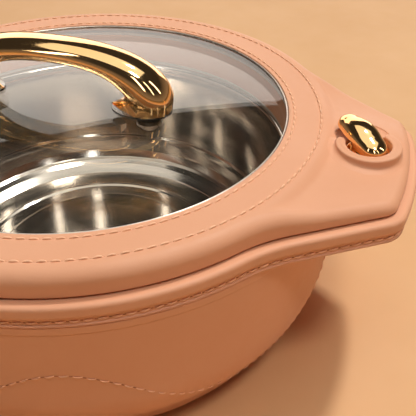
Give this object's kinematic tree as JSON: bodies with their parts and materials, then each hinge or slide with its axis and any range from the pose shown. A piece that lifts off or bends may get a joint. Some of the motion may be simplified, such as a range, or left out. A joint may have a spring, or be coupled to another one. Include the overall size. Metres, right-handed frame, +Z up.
{
  "type": "insulated chapati casserole",
  "caption": "Round insulated serving casserole with a steel bowl, a stitched leather-look shell, a lift-off lid with a see-through window, an arched handle and turn locks on its side wings.",
  "frame": {"origin": "centre of the casserole's footprint, on the surface that it stands on", "axes": "+Z up, +X along the two wings, +Y towards the side away from the picture's view"},
  "size_m": [0.3198, 0.254, 0.1401],
  "materials": {
    "peach_plastic": "soft satin, leather-like",
    "stainless_steel": "polished",
    "screw_steel": "plain zinc",
    "gold_plate": "polished gold plating",
    "clear_glass": "clear",
    "silicone": "matte",
    "clear_silicone": "translucent",
    "foam": "rigid foam"
  },
  "bodies": {
    "base": {"outer_shell": "peach_plastic", "rim_collar": "peach_plastic", "inner_bowl": "stainless_steel", "bowl_insulation": "foam", "base_cover": "peach_plastic", "base_screws": "screw_steel", "rubber_feet": "silicone", "wing_screws": "screw_steel", "lock_keepers": "screw_steel", "keeper_screws": "screw_steel"},
    "lid": {"lid_frame": "peach_plastic", "window_pane": "clear_glass", "pane_gasket": "silicone", "lid_insulation": "foam", "lid_liner": "peach_plastic", "liner_screws": "screw_steel", "lid_seal": "silicone", "handle": "gold_plate", "handle_pads": "clear_silicone", "handle_washers": "screw_steel", "handle_screws": "screw_steel"},
    "lock_right": {"lock_lever_right": "gold_plate", "lock_spindle_right": "screw_steel", "lock_washer_right": "screw_steel", "lock_screw_right": "screw_steel"},
    "lock_left": {"lock_lever_left": "gold_plate", "lock_spindle_left": "screw_steel", "lock_washer_left": "screw_steel", "lock_screw_left": "screw_steel"}
  },
  "joints": [
    {"name": "lid_lift", "type": "slide", "parent": "base", "child": "lid", "axis": [0, 0, 1], "range_m": [0, 0.12]},
    {"name": "lock_right_turn", "type": "hinge", "parent": "lid", "child": "lock_right", "pos_m": [0.137, 0, 0.103], "axis": [0, 0, 1], "range_deg": [-90, 0]},
    {"name": "lock_left_turn", "type": "hinge", "parent": "lid", "child": "lock_left", "pos_m": [-0.137, 0, 0.103], "axis": [0, 0, 1], "range_deg": [-90, 0]}
  ]
}
